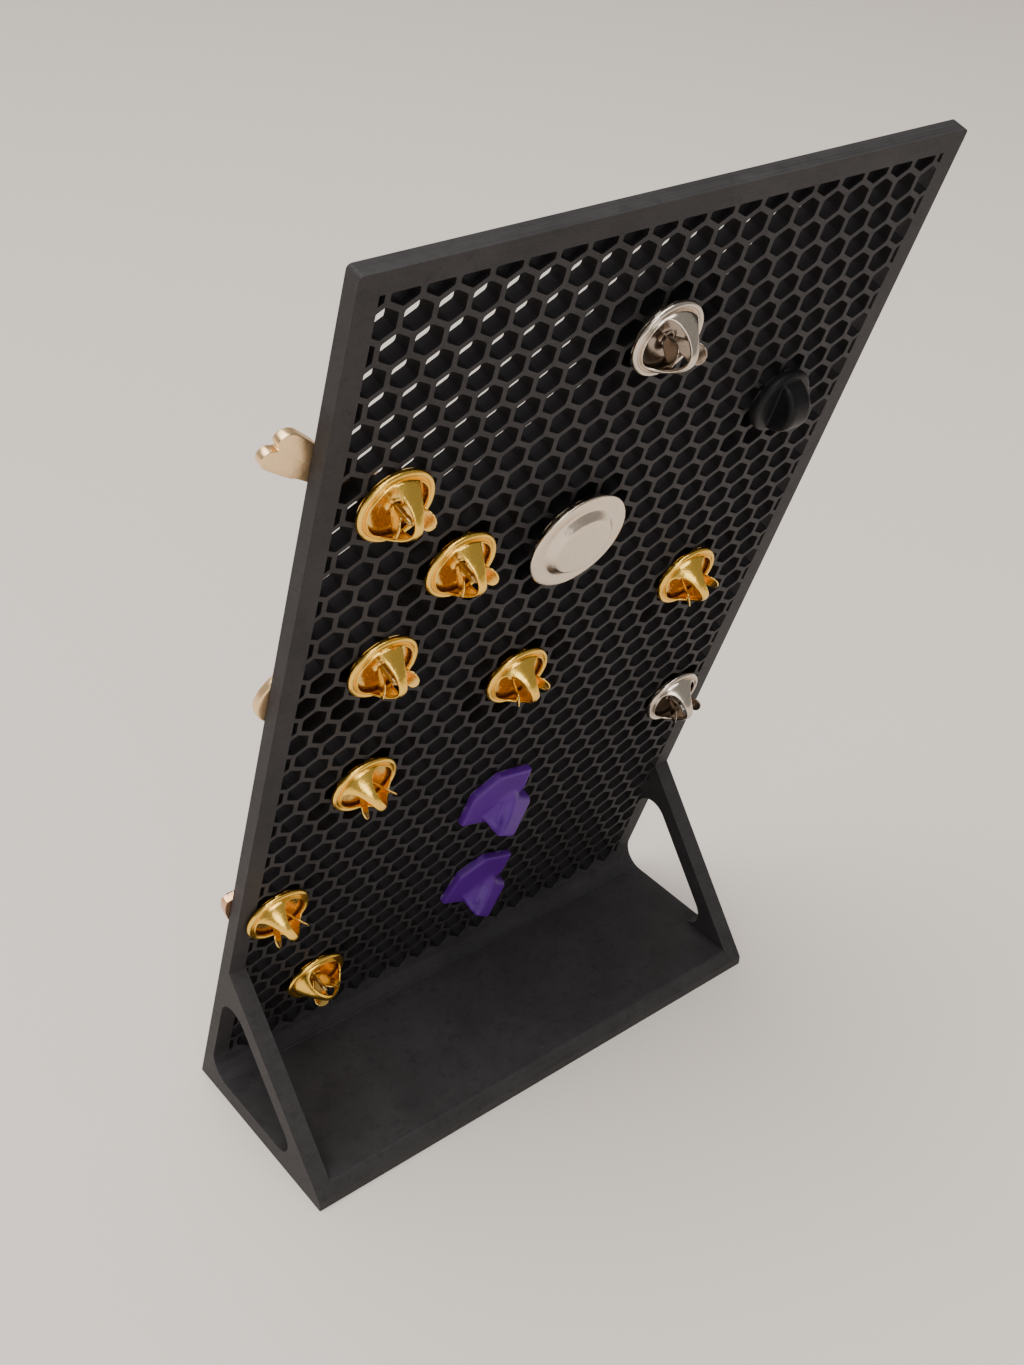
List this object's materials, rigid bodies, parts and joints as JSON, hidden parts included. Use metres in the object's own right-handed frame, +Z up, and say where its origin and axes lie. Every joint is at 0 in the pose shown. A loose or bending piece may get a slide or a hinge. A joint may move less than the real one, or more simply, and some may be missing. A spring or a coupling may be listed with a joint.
{
  "type": "pin badge display board",
  "caption": "Leaning mesh board on a low foot: pin badges pass through the mesh and are held behind by spring, rubber and magnetic clutches, with two clips.",
  "frame": {"origin": "centre of the foot's underside, on the surface it stands on", "axes": "+Z up; the badges face -Y and their clutches are on the +Y side; +X is to the left as seen from behind"},
  "size_m": [0.107, 0.0591, 0.1712],
  "materials": {
    "printed_black": "matte printed charcoal plastic with fine layer lines",
    "gold_plate": "bright gold-plated brass",
    "gold_spring": "gold-plated spring brass",
    "nickel_plate": "bright nickel plate",
    "magnet_plate": "nickel-plated magnet",
    "black_rubber": "glossy black rubber",
    "printed_purple": "satin purple printed plastic",
    "rose_plate": "pale gold plate",
    "copper_plate": "copper-coloured plate",
    "steel_plate": "plated steel"
  },
  "bodies": {
    "board": {"board": "printed_black"},
    "clutch_1": {"clutch_1_cap": "gold_plate"},
    "clutch_1_right": {"clutch_1_wing_right": "gold_spring"},
    "clutch_1_left": {"clutch_1_wing_left": "gold_spring"},
    "clutch_2": {"clutch_2_cap": "gold_plate"},
    "clutch_2_right": {"clutch_2_wing_right": "gold_spring"},
    "clutch_2_left": {"clutch_2_wing_left": "gold_spring"},
    "clutch_3": {"clutch_3_cap": "gold_plate"},
    "clutch_3_right": {"clutch_3_wing_right": "gold_spring"},
    "clutch_3_left": {"clutch_3_wing_left": "gold_spring"},
    "clutch_4": {"clutch_4_cap": "gold_plate"},
    "clutch_4_right": {"clutch_4_wing_right": "gold_spring"},
    "clutch_4_left": {"clutch_4_wing_left": "gold_spring"},
    "clutch_5": {"clutch_5_cap": "gold_plate"},
    "clutch_5_right": {"clutch_5_wing_right": "gold_spring"},
    "clutch_5_left": {"clutch_5_wing_left": "gold_spring"},
    "clutch_6": {"clutch_6_cap": "gold_plate"},
    "clutch_6_right": {"clutch_6_wing_right": "gold_spring"},
    "clutch_6_left": {"clutch_6_wing_left": "gold_spring"},
    "clutch_7": {"clutch_7_cap": "gold_plate"},
    "clutch_7_right": {"clutch_7_wing_right": "gold_spring"},
    "clutch_7_left": {"clutch_7_wing_left": "gold_spring"},
    "clutch_8": {"clutch_8_cap": "gold_plate"},
    "clutch_8_right": {"clutch_8_wing_right": "gold_spring"},
    "clutch_8_left": {"clutch_8_wing_left": "gold_spring"},
    "clutch_9": {"clutch_9_cap": "nickel_plate"},
    "clutch_9_right": {"clutch_9_wing_right": "nickel_plate"},
    "clutch_9_left": {"clutch_9_wing_left": "nickel_plate"},
    "clutch_10": {"clutch_10_cap": "nickel_plate"},
    "clutch_10_right": {"clutch_10_wing_right": "nickel_plate"},
    "clutch_10_left": {"clutch_10_wing_left": "nickel_plate"},
    "rubber_clutch": {"rubber_clutch": "black_rubber"},
    "magnetic_back": {"magnet": "magnet_plate", "magnet_cover": "nickel_plate"},
    "clip_1": {"mesh_clip_1": "printed_purple"},
    "clip_2": {"mesh_clip_2": "printed_purple"},
    "badge_1": {"badge_1": "rose_plate", "badge_1_post": "steel_plate"},
    "badge_2": {"badge_2": "gold_plate", "badge_2_post": "steel_plate"},
    "badge_3": {"badge_3": "rose_plate", "badge_3_post": "steel_plate"},
    "badge_4": {"badge_4": "gold_plate", "badge_4_post": "steel_plate"},
    "badge_5": {"badge_5": "gold_plate", "badge_5_post": "steel_plate"},
    "badge_6": {"badge_6": "copper_plate", "badge_6_post": "steel_plate"},
    "badge_7": {"badge_7": "gold_plate", "badge_7_post": "steel_plate"},
    "badge_8": {"badge_8": "gold_plate", "badge_8_post": "steel_plate"},
    "badge_9": {"badge_9": "steel_plate", "badge_9_post": "steel_plate"},
    "badge_10": {"badge_10": "steel_plate", "badge_10_post": "steel_plate"},
    "badge_11": {"badge_11": "steel_plate", "badge_11_post": "steel_plate"},
    "badge_12": {"badge_12": "steel_plate"}
  },
  "joints": [
    {"name": "clutch_1_pull", "type": "slide", "parent": "board", "child": "clutch_1", "axis": [0, 0.9511, -0.309], "range_m": [0, 0.008]},
    {"name": "clutch_1_right_squeeze", "type": "hinge", "parent": "clutch_1", "child": "clutch_1_right", "pos_m": [0.03706, 0.02786, 0.1347], "axis": [0.1045, -0.3073, -0.9458], "range_deg": [0, 14], "stiffness_Nm_per_rad": 0.04},
    {"name": "clutch_1_left_squeeze", "type": "hinge", "parent": "clutch_1", "child": "clutch_1_left", "pos_m": [0.03924, 0.02793, 0.13492], "axis": [-0.1045, 0.3073, 0.9458], "range_deg": [0, 14]},
    {"name": "clutch_2_pull", "type": "slide", "parent": "board", "child": "clutch_2", "axis": [0, 0.9511, -0.309], "range_m": [0, 0.008]},
    {"name": "clutch_2_right_squeeze", "type": "hinge", "parent": "clutch_2", "child": "clutch_2_right", "pos_m": [0.02275, 0.02277, 0.11903], "axis": [-0.0349, -0.3088, -0.9505], "range_deg": [0, 14], "stiffness_Nm_per_rad": 0.04},
    {"name": "clutch_2_left_squeeze", "type": "hinge", "parent": "clutch_2", "child": "clutch_2_left", "pos_m": [0.02495, 0.02275, 0.11896], "axis": [0.0349, 0.3088, 0.9505], "range_deg": [0, 14]},
    {"name": "clutch_3_pull", "type": "slide", "parent": "board", "child": "clutch_3", "axis": [0, 0.9511, -0.309], "range_m": [0, 0.008]},
    {"name": "clutch_3_right_squeeze", "type": "hinge", "parent": "clutch_3", "child": "clutch_3_right", "pos_m": [0.03235, 0.01762, 0.10318], "axis": [0, -0.309, -0.9511], "range_deg": [0, 14], "stiffness_Nm_per_rad": 0.04},
    {"name": "clutch_3_left_squeeze", "type": "hinge", "parent": "clutch_3", "child": "clutch_3_left", "pos_m": [0.03455, 0.01762, 0.10318], "axis": [0, 0.309, 0.9511], "range_deg": [0, 14]},
    {"name": "clutch_4_pull", "type": "slide", "parent": "board", "child": "clutch_4", "axis": [0, 0.9511, -0.309], "range_m": [0, 0.008]},
    {"name": "clutch_4_right_squeeze", "type": "hinge", "parent": "clutch_4", "child": "clutch_4_right", "pos_m": [0.00348, 0.01256, 0.08762], "axis": [-0.2419, -0.2998, -0.9228], "range_deg": [0, 14], "stiffness_Nm_per_rad": 0.04},
    {"name": "clutch_4_left_squeeze", "type": "hinge", "parent": "clutch_4", "child": "clutch_4_left", "pos_m": [0.00562, 0.0124, 0.08711], "axis": [0.2419, 0.2998, 0.9228], "range_deg": [0, 14]},
    {"name": "clutch_5_pull", "type": "slide", "parent": "board", "child": "clutch_5", "axis": [0, 0.9511, -0.309], "range_m": [0, 0.008]},
    {"name": "clutch_5_right_squeeze", "type": "hinge", "parent": "clutch_5", "child": "clutch_5_right", "pos_m": [0.03021, 0.00883, 0.07612], "axis": [-0.5878, -0.25, -0.7694], "range_deg": [0, 14], "stiffness_Nm_per_rad": 0.04},
    {"name": "clutch_5_left_squeeze", "type": "hinge", "parent": "clutch_5", "child": "clutch_5_left", "pos_m": [0.03199, 0.00843, 0.07489], "axis": [0.5878, 0.25, 0.7694], "range_deg": [0, 14]},
    {"name": "clutch_6_pull", "type": "slide", "parent": "board", "child": "clutch_6", "axis": [0, 0.9511, -0.309], "range_m": [0, 0.008]},
    {"name": "clutch_6_right_squeeze", "type": "hinge", "parent": "clutch_6", "child": "clutch_6_right", "pos_m": [0.04177, 0, 0.04896], "axis": [-0.5299, -0.2621, -0.8065], "range_deg": [0, 14], "stiffness_Nm_per_rad": 0.04},
    {"name": "clutch_6_left_squeeze", "type": "hinge", "parent": "clutch_6", "child": "clutch_6_left", "pos_m": [0.04363, -0.00036, 0.04785], "axis": [0.5299, 0.2621, 0.8065], "range_deg": [0, 14]},
    {"name": "clutch_7_pull", "type": "slide", "parent": "board", "child": "clutch_7", "axis": [0, 0.9511, -0.309], "range_m": [0, 0.008]},
    {"name": "clutch_7_right_squeeze", "type": "hinge", "parent": "clutch_7", "child": "clutch_7_right", "pos_m": [0.031, -0.00962, 0.01934], "axis": [0.9613, 0.0852, 0.2621], "range_deg": [0, 14], "stiffness_Nm_per_rad": 0.04},
    {"name": "clutch_7_left_squeeze", "type": "hinge", "parent": "clutch_7", "child": "clutch_7_left", "pos_m": [0.0304, -0.00897, 0.02135], "axis": [-0.9613, -0.0852, -0.2621], "range_deg": [0, 14]},
    {"name": "clutch_8_pull", "type": "slide", "parent": "board", "child": "clutch_8", "axis": [0, 0.9511, -0.309], "range_m": [0, 0.008]},
    {"name": "clutch_8_right_squeeze", "type": "hinge", "parent": "clutch_8", "child": "clutch_8_right", "pos_m": [-0.02945, 0.01527, 0.09594], "axis": [-0.4067, -0.2823, -0.8688], "range_deg": [0, 14], "stiffness_Nm_per_rad": 0.04},
    {"name": "clutch_8_left_squeeze", "type": "hinge", "parent": "clutch_8", "child": "clutch_8_left", "pos_m": [-0.02745, 0.01499, 0.09509], "axis": [0.4067, 0.2823, 0.8688], "range_deg": [0, 14]},
    {"name": "clutch_9_pull", "type": "slide", "parent": "board", "child": "clutch_9", "axis": [0, 0.9511, -0.309], "range_m": [0, 0.008]},
    {"name": "clutch_9_right_squeeze", "type": "hinge", "parent": "clutch_9", "child": "clutch_9_right", "pos_m": [-0.00123, 0.03439, 0.14994], "axis": [0.2079, -0.3023, -0.9303], "range_deg": [0, 14], "stiffness_Nm_per_rad": 0.04},
    {"name": "clutch_9_left_squeeze", "type": "hinge", "parent": "clutch_9", "child": "clutch_9_left", "pos_m": [0.00093, 0.03453, 0.15038], "axis": [-0.2079, 0.3023, 0.9303], "range_deg": [0, 14]},
    {"name": "clutch_10_pull", "type": "slide", "parent": "board", "child": "clutch_10", "axis": [0, 0.9511, -0.309], "range_m": [0, 0.008]},
    {"name": "clutch_10_right_squeeze", "type": "hinge", "parent": "clutch_10", "child": "clutch_10_right", "pos_m": [-0.04144, 0.00361, 0.06006], "axis": [-0.1219, -0.3067, -0.944], "range_deg": [0, 14], "stiffness_Nm_per_rad": 0.04},
    {"name": "clutch_10_left_squeeze", "type": "hinge", "parent": "clutch_10", "child": "clutch_10_left", "pos_m": [-0.03926, 0.00353, 0.0598], "axis": [0.1219, 0.3067, 0.944], "range_deg": [0, 14]},
    {"name": "rubber_clutch_pull", "type": "slide", "parent": "board", "child": "rubber_clutch", "axis": [0, 0.9511, -0.309], "range_m": [0, 0.008]},
    {"name": "magnetic_back_pull", "type": "slide", "parent": "board", "child": "magnetic_back", "axis": [0, 0.9511, -0.309], "range_m": [0, 0.01]},
    {"name": "clip_1_pull", "type": "slide", "parent": "board", "child": "clip_1", "axis": [0, 0.9511, -0.309], "range_m": [0, 0.005]},
    {"name": "clip_2_pull", "type": "slide", "parent": "board", "child": "clip_2", "axis": [0, 0.9511, -0.309], "range_m": [0, 0.005]},
    {"name": "badge_1_pull", "type": "slide", "parent": "board", "child": "badge_1", "axis": [0, -0.9511, 0.309], "range_m": [0, 0.008]},
    {"name": "badge_2_pull", "type": "slide", "parent": "board", "child": "badge_2", "axis": [0, -0.9511, 0.309], "range_m": [0, 0.008]},
    {"name": "badge_3_pull", "type": "slide", "parent": "board", "child": "badge_3", "axis": [0, -0.9511, 0.309], "range_m": [0, 0.008]},
    {"name": "badge_4_pull", "type": "slide", "parent": "board", "child": "badge_4", "axis": [0, -0.9511, 0.309], "range_m": [0, 0.008]},
    {"name": "badge_5_pull", "type": "slide", "parent": "board", "child": "badge_5", "axis": [0, -0.9511, 0.309], "range_m": [0, 0.008]},
    {"name": "badge_6_pull", "type": "slide", "parent": "board", "child": "badge_6", "axis": [0, -0.9511, 0.309], "range_m": [0, 0.008]},
    {"name": "badge_7_pull", "type": "slide", "parent": "board", "child": "badge_7", "axis": [0, -0.9511, 0.309], "range_m": [0, 0.008]},
    {"name": "badge_8_pull", "type": "slide", "parent": "board", "child": "badge_8", "axis": [0, -0.9511, 0.309], "range_m": [0, 0.008]},
    {"name": "badge_9_pull", "type": "slide", "parent": "board", "child": "badge_9", "axis": [0, -0.9511, 0.309], "range_m": [0, 0.008]},
    {"name": "badge_10_pull", "type": "slide", "parent": "board", "child": "badge_10", "axis": [0, -0.9511, 0.309], "range_m": [0, 0.008]},
    {"name": "badge_11_pull", "type": "slide", "parent": "board", "child": "badge_11", "axis": [0, -0.9511, 0.309], "range_m": [0, 0.008]},
    {"name": "badge_12_pull", "type": "slide", "parent": "board", "child": "badge_12", "axis": [0, -0.9511, 0.309], "range_m": [0, 0.008]}
  ],
  "couplings": [
    {"joint": "clutch_1_left_squeeze", "follows": "clutch_1_right_squeeze", "ratio": 1},
    {"joint": "clutch_2_left_squeeze", "follows": "clutch_2_right_squeeze", "ratio": 1},
    {"joint": "clutch_3_left_squeeze", "follows": "clutch_3_right_squeeze", "ratio": 1},
    {"joint": "clutch_4_left_squeeze", "follows": "clutch_4_right_squeeze", "ratio": 1},
    {"joint": "clutch_5_left_squeeze", "follows": "clutch_5_right_squeeze", "ratio": 1},
    {"joint": "clutch_6_left_squeeze", "follows": "clutch_6_right_squeeze", "ratio": 1},
    {"joint": "clutch_7_left_squeeze", "follows": "clutch_7_right_squeeze", "ratio": 1},
    {"joint": "clutch_8_left_squeeze", "follows": "clutch_8_right_squeeze", "ratio": 1},
    {"joint": "clutch_9_left_squeeze", "follows": "clutch_9_right_squeeze", "ratio": 1},
    {"joint": "clutch_10_left_squeeze", "follows": "clutch_10_right_squeeze", "ratio": 1}
  ]
}
